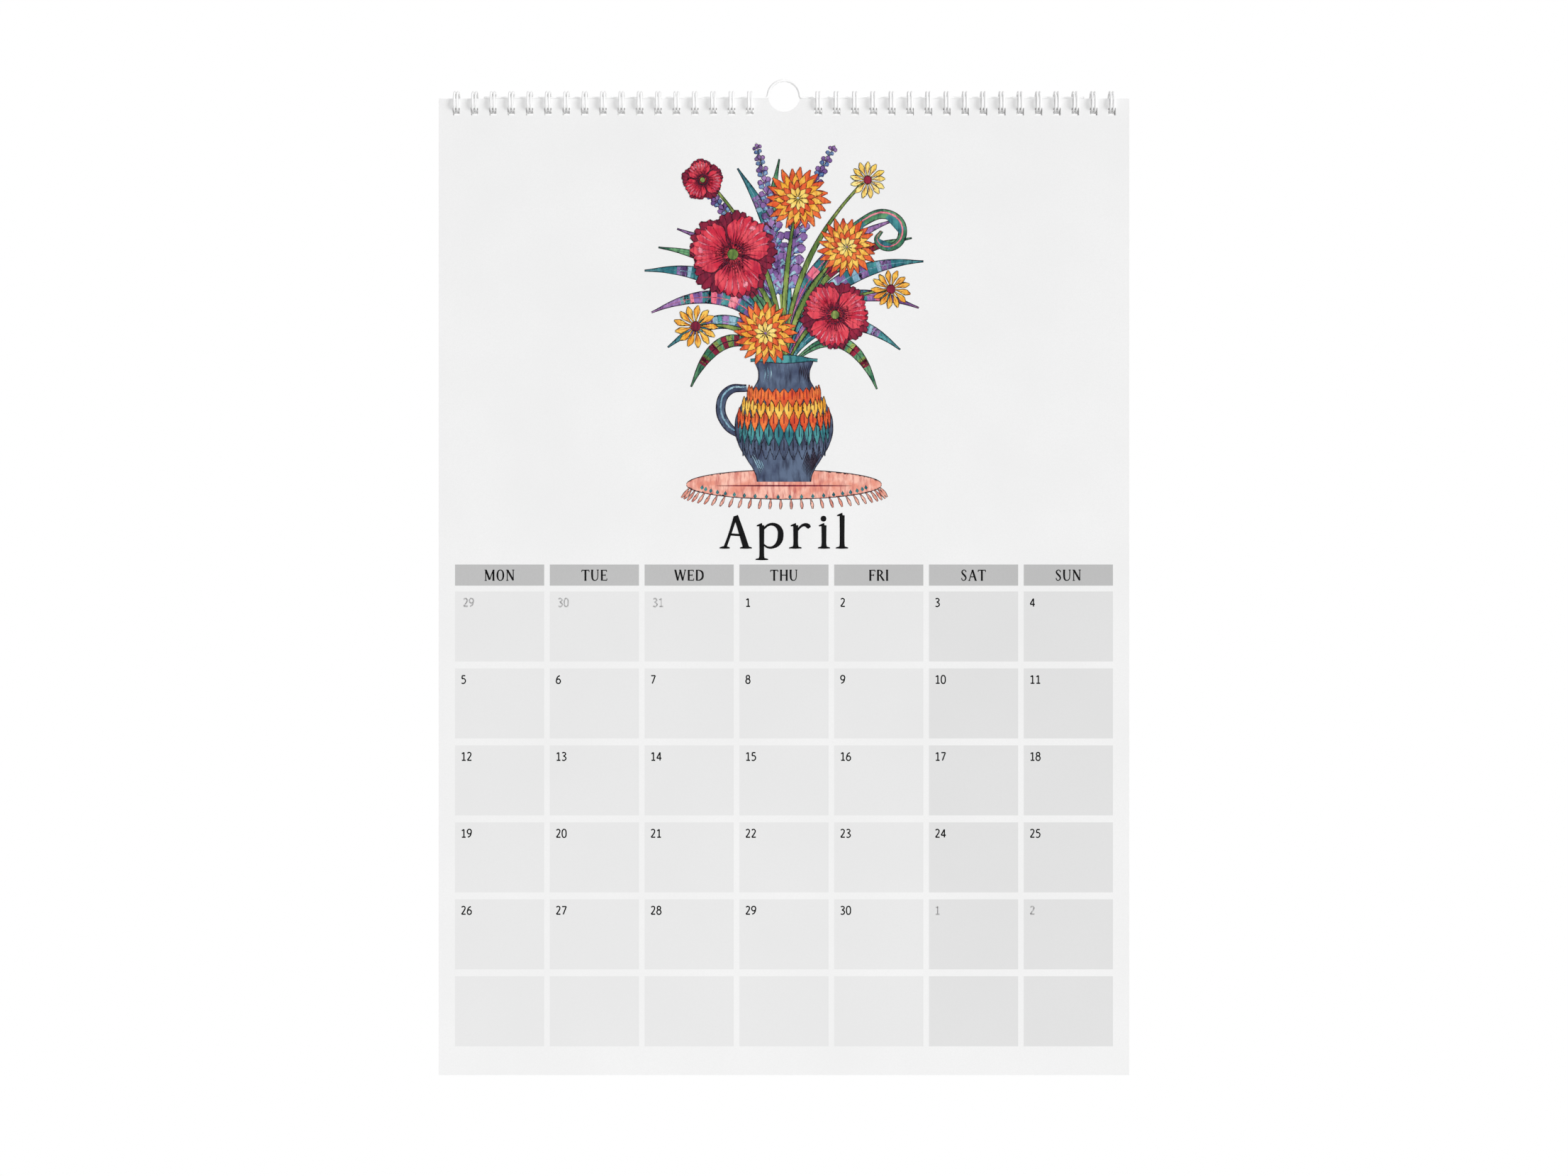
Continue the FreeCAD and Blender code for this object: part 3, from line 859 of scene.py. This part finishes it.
dark_days, pale_days = [], []
for place in range(DAYS * (WEEKS - 1)):
    day, this_month = day_at(place)
    across = column_left(place % DAYS) / MM + FIGURE_LEFT
    across += PALE_SHIFT if place < FIRST_WEEKDAY else 0.0
    up = -(CELL_TOP + (place // DAYS) * ROW_PITCH) / MM - FIGURE_DROP
    strokes = set_word(str(day), FIGURES, FIGURE_HEIGHT, FIGURE_GAP, across, up,
                       squeeze=FIGURE_SQUEEZE)
    (dark_days if this_month else pale_days).extend(strokes)
print_strokes("days_of_the_month", dark_days, BLACK, TEXT_LAYER)
print_strokes("days_beside_the_month", pale_days, PALE, TEXT_LAYER)

# %% [markdown]
# ## Print: the picture
#
# Above the month stands a painting in bright watercolours with dark outlines. Ours is a plain one of a kind
# any calendar may carry: a jug of garden flowers on a fringed mat. Every shape in it is a stroke. Its outline
# is the same stroke, up to a third of a millimetre wider all round and one layer lower, which gives an even
# dark line.

# %% Watercolours
def watercolour(name, pale, full, deep, pools=160.0, streaks=900.0):
    """A paint that runs between three shades of its colour."""
    values = {"Pale": screen(*pale), "Full": screen(*full), "Deep": screen(*deep),
              "Pools": pools, "Streaks": streaks}
    return finish(name, WASH, values, 0.62, 0.05, shine=0.2)


LINE = watercolour("line_ink", (58, 44, 62), (40, 30, 46), (24, 20, 30))
CRIMSON = watercolour("crimson", (236, 82, 96), (206, 38, 64), (158, 22, 60), 190.0)
ROSE = watercolour("rose", (250, 158, 172), (238, 112, 136), (214, 78, 112))
WINE = watercolour("wine", (158, 30, 62), (122, 20, 52), (84, 16, 44))
VERMILION = watercolour("vermilion", (246, 128, 62), (226, 84, 40), (178, 52, 40), 220.0)
AMBER = watercolour("amber", (252, 208, 96), (244, 172, 52), (222, 126, 36), 220.0)
LEMON = watercolour("lemon", (255, 236, 150), (250, 216, 104), (236, 180, 66))
TEAL = watercolour("teal", (82, 160, 162), (38, 112, 124), (20, 66, 84), 150.0)
GREEN = watercolour("green", (112, 170, 120), (48, 114, 84), (24, 70, 60), 150.0)
MOSS = watercolour("moss", (156, 176, 92), (98, 128, 58), (58, 84, 42), 150.0)
VIOLET = watercolour("violet", (170, 130, 190), (116, 82, 148), (70, 50, 104), 150.0)
BLUE = watercolour("blue", (138, 162, 214), (82, 106, 174), (48, 64, 122), 150.0)
SLATE = watercolour("slate", (92, 108, 134), (58, 68, 96), (34, 38, 62), 130.0, 620.0)
SKY = watercolour("sky", (170, 206, 220), (124, 170, 194), (88, 130, 162))
SALMON = watercolour("salmon", (250, 194, 176), (234, 152, 132), (196, 104, 98), 240.0)
print("materials with the paints:", len(bpy.data.materials))

# %% [markdown]
# Places in the picture are given as they are read on the page: millimetres across from its middle and down
# from its top edge. Three little tools draw everything. `bow` is a curved path from one place to another,
# `swell` is a stroke along it that fattens and tapers, and `outlined` prints strokes over their own dark
# edge. Every piece has a layer, counted up from the paper: the leaves and the mat lie lowest, then come the
# bells, the stems and the jug, and the flowers lie on top.

# %% Drawing tools
OUTLINE = 0.30


def bow(start, end, bend, part):
    """The place a part of the way along a bowed path, by a bend that is a share of its length."""
    (x0, y0), (x1, y1) = start, end
    sag = 4 * bend * part * (1 - part)
    return x0 + (x1 - x0) * part + (y1 - y0) * sag, y0 + (y1 - y0) * part - (x1 - x0) * sag


def fatness(part, peak):
    """How full a stroke is at a part of its length, from none at its ends to one at its peak."""
    return max(math.sin(math.pi * part ** (math.log(0.5) / math.log(peak))), 0.0)


def swell(start, end, bend, half, peak=0.5, knots=6, tip=0.06):
    """A stroke along a bow that swells to its half width at the peak."""
    stroke = []
    for n in range(knots + 1):
        part = n / knots
        x, y = bow(start, end, bend, part)
        stroke.append((x, -y, half * max(fatness(part, peak), tip)))
    return stroke


def dot(x, y, radius):
    """A round dot: a short stroke whose half width follows a circle."""
    turns = [math.pi * n / 8 for n in range(9)]
    return [(x - radius * math.cos(turn), -y, radius * max(math.sin(turn), 0.05)) for turn in turns]


def polar(centre, angle, radius):
    """A place round a centre, by an angle in degrees from straight up, clockwise."""
    turn = math.radians(angle)
    return centre[0] + radius * math.sin(turn), centre[1] - radius * math.cos(turn)


def widened(strokes, extra):
    """The same strokes, fuller all round."""
    return [[(x, y, half + extra) for x, y, half in stroke] for stroke in strokes]


def outlined(name, strokes, material, layer, edge=OUTLINE):
    """Strokes over their own dark outline. They take two layers."""
    print_strokes(name + "_edge", widened(strokes, edge), LINE, layer)
    print_strokes(name, strokes, material, layer + 1)


chance = random.Random(21)
print("halfway along a bow:", bow((0, 0), (10, 0), 0.2, 0.5))

# %% [markdown]
# Behind the jug's mouth long leaves arch out to the left and right, in three sets so that one crosses
# another. Each leaf carries a few bands in other colours, and over them a rib with veins.

# %% Long leaves
MOUTH = (0.0, 118.0)
LEAF_PEAK, LEAF_KNOTS, LEAF_VEINS = 0.58, 9, 15
LAST_BAND, BAND_LENGTH = 0.92, 0.055
# Each set's name, layer and three colours, and each leaf's tip, bend and half width.
LEAF_SETS = (
    ("far_leaves", 4, TEAL, SKY, VIOLET, (
        ((-60, 74), -0.22, 3.2), ((-50, 107), -0.32, 2.8), ((-20, 30), -0.10, 2.8), ((60, 70), 0.20, 3.2),
        ((50, 108), 0.32, 2.6))),
    ("middle_leaves", 8, VIOLET, ROSE, TEAL, (
        ((-57, 92), -0.30, 2.8), ((-46, 56), -0.18, 2.4), ((48, 52), 0.18, 2.5), ((58, 90), 0.28, 2.6))),
    ("near_leaves", 12, GREEN, MOSS, WINE, (
        ((-40, 124), -0.42, 2.6), ((-54, 64), -0.20, 2.4), ((-2, 26), 0.06, 2.4), ((55, 60), 0.20, 2.4),
        ((40, 125), 0.42, 2.4))),
)


def leaf_details(tip, bend, half):
    """A leaf's rib, and its veins in pairs that lean towards the tip."""
    strokes = [swell(MOUTH, tip, bend, half * 0.10, 0.4)]
    for n in range(1, LEAF_VEINS):
        part = 0.12 + 0.76 * n / LEAF_VEINS
        x, y = bow(MOUTH, tip, bend, part)
        ahead = bow(MOUTH, tip, bend, part + 0.05)
        way = Vector((ahead[0] - x, ahead[1] - y)).normalized()
        reach = half * fatness(part, LEAF_PEAK) * 0.86
        for side in (-1, 1):
            end = (x + way.x * reach * 0.9 - side * way.y * reach,
                   y + way.y * reach * 0.9 + side * way.x * reach)
            strokes.append(swell((x, y), end, 0.0, 0.10, 0.4, 2))
    return strokes


def leaf_bands(tip, bend, half, first, count):
    """Short lengths of the leaf itself, to be painted in another colour."""
    bands = []
    for n in range(count):
        low = first + (LAST_BAND - first) * n / count
        high = low + BAND_LENGTH
        band = []
        for part in (low, (low + high) / 2, high):
            x, y = bow(MOUTH, tip, bend, part)
            band.append((x, -y, half * fatness(part, LEAF_PEAK) * 0.96))
        bands.append(band)
    return bands


for name, layer, paint, light, second, leaves in LEAF_SETS:
    blades = [swell(MOUTH, *leaf, LEAF_PEAK, LEAF_KNOTS) for leaf in leaves]
    outlined(name, blades, paint, layer, 0.26)
    details, bands, pale_bands = [], [], []
    for leaf in leaves:
        details += leaf_details(*leaf)
        bands += leaf_bands(*leaf, 0.42, 4)
        pale_bands += leaf_bands(*leaf, 0.49, 3)
    print_strokes(name + "_bands", bands, second, layer + 2)
    print_strokes(name + "_pale_bands", pale_bands, light, layer + 2)
    print_strokes(name + "_veins", details, LINE if second is WINE else light, layer + 3)

# %% [markdown]
# Three spikes of small bells stand among the leaves, blue and violet by turns, and on the right one frond
# curls.

# %% Bell spikes and a curled frond
BELL_ROWS = 26
SPIKES = (((22, 20), 0.08, 8.0), ((-38, 36), -0.12, 7.4), ((-12, 19), -0.03, 7.6))


def bell_spike(tip, bend, half):
    """Small bells by twos and threes up a stem, smaller towards the tip: the twos, and the threes."""
    bells = [[], []]
    for n in range(BELL_ROWS):
        part = 0.34 + 0.66 * n / BELL_ROWS
        x, y = bow(MOUTH, tip, bend, part)
        ahead = bow(MOUTH, tip, bend, part + 0.04)
        heading = math.degrees(math.atan2(ahead[0] - x, y - ahead[1]))
        size = half * (1.25 - part)
        for spread in (-62, 0, 62) if n % 2 else (-35, 35):
            end = polar((x, y), heading + spread + chance.uniform(-9, 9), size)
            bells[n % 2].append(swell((x, y), end, 0.08, size * 0.34, 0.7, 4, 0.2))
    return bells


blue_bells, violet_bells, spike_stems = [], [], []
for tip, bend, half in SPIKES:
    twos, threes = bell_spike(tip, bend, half)
    blue_bells += twos
    violet_bells += threes
    spike_stems.append(swell(MOUTH, tip, bend, 0.5, 0.3, 8, 0.3))
bell_lights = [[(x, y, half * 0.34) for x, y, half in bell[1:4]] for bell in blue_bells]
print_strokes("spike_stems", spike_stems, MOSS, 16)
outlined("blue_bells", blue_bells, BLUE, 17, 0.2)
outlined("violet_bells", violet_bells, VIOLET, 19, 0.2)
print_strokes("bell_lights", bell_lights, SKY, 21)

FROND = [(12, 84, 0.7), (22, 66, 1.4), (34, 53, 1.8), (45, 50, 1.9), (51, 57, 1.7), (46, 64, 1.4),
         (40, 61, 1.0), (42, 57, 0.5)]
frond = [(x, -y, half) for x, y, half in FROND]
outlined("frond", [frond], GREEN, 17, 0.26)
print_strokes("frond_bands", [frond[n:n + 2] for n in (1, 3, 5)], TEAL, 19)
print_strokes("frond_light", [[(x, y + half * 0.35, half * 0.22) for x, y, half in frond]], ROSE, 20)

# %% [markdown]
# The jug stands on a round mat, seen as a flat ellipse: one level stroke whose half width follows the rim. A
# fringe hangs from its near side.

# %% The mat
MAT_DOWN, MAT_WIDE, MAT_DEEP, MAT_KNOTS = 166.0, 42.0, 6.2, 20


def round_the_mat(angle, share=1.0):
    """A place on the mat's near rim, or on a smaller rim inside it, by its angle from the right."""
    turn = math.radians(angle)
    return MAT_WIDE * share * math.cos(turn), MAT_DOWN + MAT_DEEP * share * math.sin(turn)


mat, tassels, drops = [], [], []
for n in range(MAT_KNOTS + 1):
    turn = math.pi * n / MAT_KNOTS
    mat.append((-MAT_WIDE * math.cos(turn), -MAT_DOWN, MAT_DEEP * max(math.sin(turn), 0.04)))
for angle in range(8, 173, 6):
    x, y = round_the_mat(angle, 0.98)
    tassels.append(swell((x, y), (x * 1.09, y + 4.6), 0.03, 0.6, 0.6, 4, 0.3))
for angle in range(14, 167, 8):
    x, y = round_the_mat(angle, 0.86)
    drops.append(swell((x, y - 1.1), (x * 1.01, y + 0.9), 0.0, 0.7, 0.6, 4, 0.1))
outlined("mat_fringe", tassels, SALMON, 4, 0.16)
outlined("mat", [mat], SALMON, 6)
print_strokes("mat_drops", drops, TEAL, 8)
print_strokes("mat_lines", [[(0.70 * x, y - 0.5, half * 0.05) for x, y, half in mat]], WINE, 9)

# %% [markdown]
# The jug is one fat upright stroke whose half width follows its side, as if it had been thrown on a wheel.
# Rows of pointed petals are painted round it, warm above and cool below, and they rise a little towards its
# sides.

# %% The jug
# Half the jug's width at places down its side.
JUG = ((113.0, 12.4), (118.0, 10.8), (123.0, 12.0), (129.0, 16.4), (135.0, 19.7), (141.0, 20.9),
       (147.0, 20.0), (152.0, 17.7), (157.0, 14.6), (161.0, 12.3), (164.8, 11.4))
HANDLE = [(-16.0, -124.5, 1.3), (-23.5, -125.5, 1.7), (-27.2, -132.0, 1.8), (-24.5, -140.5, 1.7),
          (-18.5, -145.0, 1.3)]
# Where each row of petals starts, how long they are, and their colour, from the lowest row up.
PETAL_ROWS = ((145.5, 10.0, SLATE), (140.0, 9.5, TEAL), (134.5, 9.0, VERMILION), (129.5, 8.5, AMBER),
              (124.8, 8.0, VERMILION))
ROW_PETALS, PETAL_HALF, ROW_SAG = 13, 2.0, 2.2
LINE_KNOTS = 8


def jug_half(down):
    """Half the jug's width at a height, between the places that are given."""
    for (y0, half0), (y1, half1) in zip(JUG, JUG[1:]):
        if down <= y1:
            return half0 + (half1 - half0) * (down - y0) / (y1 - y0)
    return JUG[-1][1]


def petal_row(down, length, shift):
    """A row of pointed petals round the jug, narrower and higher towards its sides."""
    row = []
    for n in range(ROW_PETALS):
        turn = math.radians(-78 + 156 * (n + shift) / (ROW_PETALS - 1))
        if abs(turn) > math.radians(80):
            continue
        x = math.sin(turn) * (jug_half(down + length / 2) - 1.0)
        y = down - ROW_SAG * (1 - math.cos(turn))
        half = PETAL_HALF * max(math.cos(turn), 0.3)
        row.append(swell((x, y), (x + math.sin(turn) * 0.6, y + length), 0, half, 0.42, 5, 0.1))
    return row


def down_the_jug(share, top, bottom, half):
    """A line down the jug that follows its side, at a share of its half width."""
    line = []
    for n in range(LINE_KNOTS + 1):
        down = top + (bottom - top) * n / LINE_KNOTS
        line.append((share * jug_half(down), -down, half * max(fatness(n / LINE_KNOTS, 0.5), 0.1)))
    return line


outlined("jug_handle", [HANDLE], SLATE, 14)
print_strokes("handle_light", [[(x, y + 0.5, half * 0.25) for x, y, half in HANDLE]], SKY, 16)
outlined("jug", [[(0.0, -down, half) for down, half in JUG]], SLATE, 24)
for n, (down, length, paint) in enumerate(PETAL_ROWS):
    row = petal_row(down, length, 0.5 * (n % 2))
    outlined(f"jug_petals_{n}", row, paint, 28 + 2 * n, 0.18)
    veins = [[(x, y, half * 0.12) for x, y, half in petal[:4]] for petal in row]
    print_strokes(f"jug_veins_{n}", veins, WINE if paint is VERMILION else LINE, 30 + 2 * n)

shade = [down_the_jug(0.93 - 0.045 * n, 150 - 0.8 * n, 163.5 - 0.5 * n, 0.30) for n in range(9)]
shade += [down_the_jug(0.90 - 0.07 * n, 114.5, 123.0 - n, 0.26) for n in range(5)]
lights = [down_the_jug(-0.82 + 0.06 * n, 152 + n, 161.5 - 0.7 * n, 0.26) for n in range(4)]
lights += [down_the_jug(-0.74 + 0.12 * n, 115, 122 - 0.6 * n, 0.24) for n in range(3)]
print_strokes("jug_shade", shade, LINE, 28)
print_strokes("jug_lights", lights, SKY, 28)
outlined("jug_lip", [swell((-14.4, 112.6), (14.4, 112.6), 0.02, 1.7, 0.5, 12, 0.3)], TEAL, 40, 0.24)
print("picture, lower half done")

# %% [markdown]
# Flowers come last, in front of everything. A poppy's petal is a fan of narrow strokes of slightly different
# length, which gives its crumpled rim. Marigolds and daisies are rings of narrow petals round a centre.

# %% Flowers
BACK_PETALS = (-72, 0, 72, 144, 216)
FRONT_PETALS = (36, 156, 276)
MARIGOLD_RINGS = ((1.0, 20, 0.105, VERMILION), (0.78, 17, 0.095, AMBER), (0.56, 13, 0.085, VERMILION),
                  (0.36, 10, 0.07, LEMON))
DAISY_PETALS = 13


def fan(centre, heading, radius, spread, count, half):
    """One broad petal made of narrow strokes side by side."""
    petal = []
    for n in range(count):
        lean = spread * (n / (count - 1) - 0.5)
        length = radius * (1 - 0.16 * (2 * n / (count - 1) - 1) ** 2) * chance.uniform(0.95, 1.04)
        root, end = polar(centre, heading, 0.5), polar(centre, heading + lean, length)
        petal.append(swell(root, end, 0.03 * (-1) ** n, half, 0.72, 5, 0.16))
    return petal


def ring_of_petals(centre, radius, count, half, turn, peak=0.62):
    """A ring of narrow petals, each a little off its place and its length."""
    ring = []
    for n in range(count):
        heading = turn + 360 * n / count
        end = polar(centre, heading + chance.uniform(-3, 3), radius * chance.uniform(0.93, 1.03))
        ring.append(swell(polar(centre, heading, radius * 0.12), end, 0.04, half, peak, 4, 0.14))
    return ring


def ray(centre, angle, low, high, bend, half, peak=0.5):
    """A stroke straight out from a flower's centre, between two distances."""
    return swell(polar(centre, angle, low), polar(centre, angle, high), bend, half, peak)


def poppy(name, centre, radius, turn, layer):
    """Two tiers of crumpled petals, dark at the heart and with light on their rims."""
    back = []
    for heading in BACK_PETALS:
        back += fan(centre, turn + heading, radius, 74, 8, radius * 0.17)
    outlined(name + "_back", back, WINE, layer, 0.32)
    lights, gleams = [], []
    for n, heading in enumerate(FRONT_PETALS):
        petal = fan(centre, turn + heading, radius * 0.93, 84, 9, radius * 0.16)
        outlined(f"{name}_petal_{n}", petal, CRIMSON, layer + 2 + 2 * n)
        lights += [ray(centre, turn + heading + lean, radius * 0.52, radius * 0.84, 0.05, 0.34, 0.6)
                   for lean in (-30, -18, -7, 5, 16, 27)]
        gleams.append(swell(polar(centre, turn + heading - 14, radius * 0.66),
                            polar(centre, turn + heading - 3, radius * 0.76), 0.1, radius * 0.055))
    print_strokes(name + "_lights", lights + gleams, ROSE, layer + 8)
    veins = []
    for angle in range(0, 360, 9):
        end = polar(centre, angle + 4, radius * chance.uniform(0.34, 0.6))
        veins.append(swell(polar(centre, angle, radius * 0.16), end, 0.02, 0.26, 0.3))
    print_strokes(name + "_veins", veins, WINE, layer + 9)
    seeds = [polar(centre, angle, radius * chance.uniform(0.2, 0.27)) for angle in range(0, 360, 20)]
    print_strokes(name + "_seeds", [dot(*seed, 0.34) for seed in seeds], LINE, layer + 10)
    outlined(name + "_heart", [dot(*centre, radius * 0.12)], MOSS, layer + 10, 0.25)


def marigold(name, centre, radius, turn, layer):
    """Four rings of petals, red outside and yellow inside."""
    for n, (share, count, half, paint) in enumerate(MARIGOLD_RINGS):
        ring = ring_of_petals(centre, radius * share, count, radius * half, turn + 11 * n)
        outlined(f"{name}_{n}", ring, paint, layer + 2 * n, 0.16)


def daisy(name, centre, radius, turn, layer, paint=AMBER):
    """One ring of petals with a line down each, round a dark heart."""
    petals = ring_of_petals(centre, radius, DAISY_PETALS, radius * 0.13, turn, 0.7)
    outlined(name, petals, paint, layer, 0.2)
    lines = [ray(centre, turn + 360 * n / DAISY_PETALS, radius * 0.3, radius * 0.75, 0, 0.14)
             for n in range(DAISY_PETALS)]
    print_strokes(name + "_lines", lines, VERMILION, layer + 2)
    outlined(name + "_heart", [dot(*centre, radius * 0.22)], WINE, layer + 3, 0.2)


print("rings in a marigold:", len(MARIGOLD_RINGS))

# %% [markdown]
# Seven of the nine flowers have a stem up from the jug's mouth, and two sit right at it. Their layers decide
# which one is in front where they overlap.

# %% The bunch
STEMS = (((-22, 66), -0.10), ((6, 43), 0.03), ((27, 64), 0.10), ((-34, 34), -0.10), ((34, 36), 0.10),
         ((46, 82), 0.16), ((-38, 98), -0.18))
stems = [swell(MOUTH, head, bend, 1.0, 0.5, 6, 0.5) for head, bend in STEMS]
outlined("stems", stems, MOSS, 22, 0.24)
daisy("left_daisy", (-38, 98), 9.5, 8, 32)
daisy("right_daisy", (46, 82), 8.5, 20, 32)
daisy("high_daisy", (36, 35), 8.0, 4, 32, LEMON)
marigold("high_marigold", (6, 43), 14.0, 5, 34)
marigold("right_marigold", (27, 64), 13.0, 12, 34)
marigold("low_marigold", (-8, 101), 14.0, 2, 43)
poppy("large_poppy", (-22, 67), 19.5, 10, 42)
poppy("right_poppy", (22, 93), 15.0, 40, 44)
poppy("small_poppy", (-35, 35), 9.0, 65, 34)

# %% [markdown]
# ## Counting faces
#
# Last, the faces of every mesh in the scene are counted.

# %% Faces in all
bpy.context.view_layer.update()
faces = sum(len(piece.data.polygons) for piece in bpy.data.objects if piece.type == "MESH")
print("faces in all:", faces)
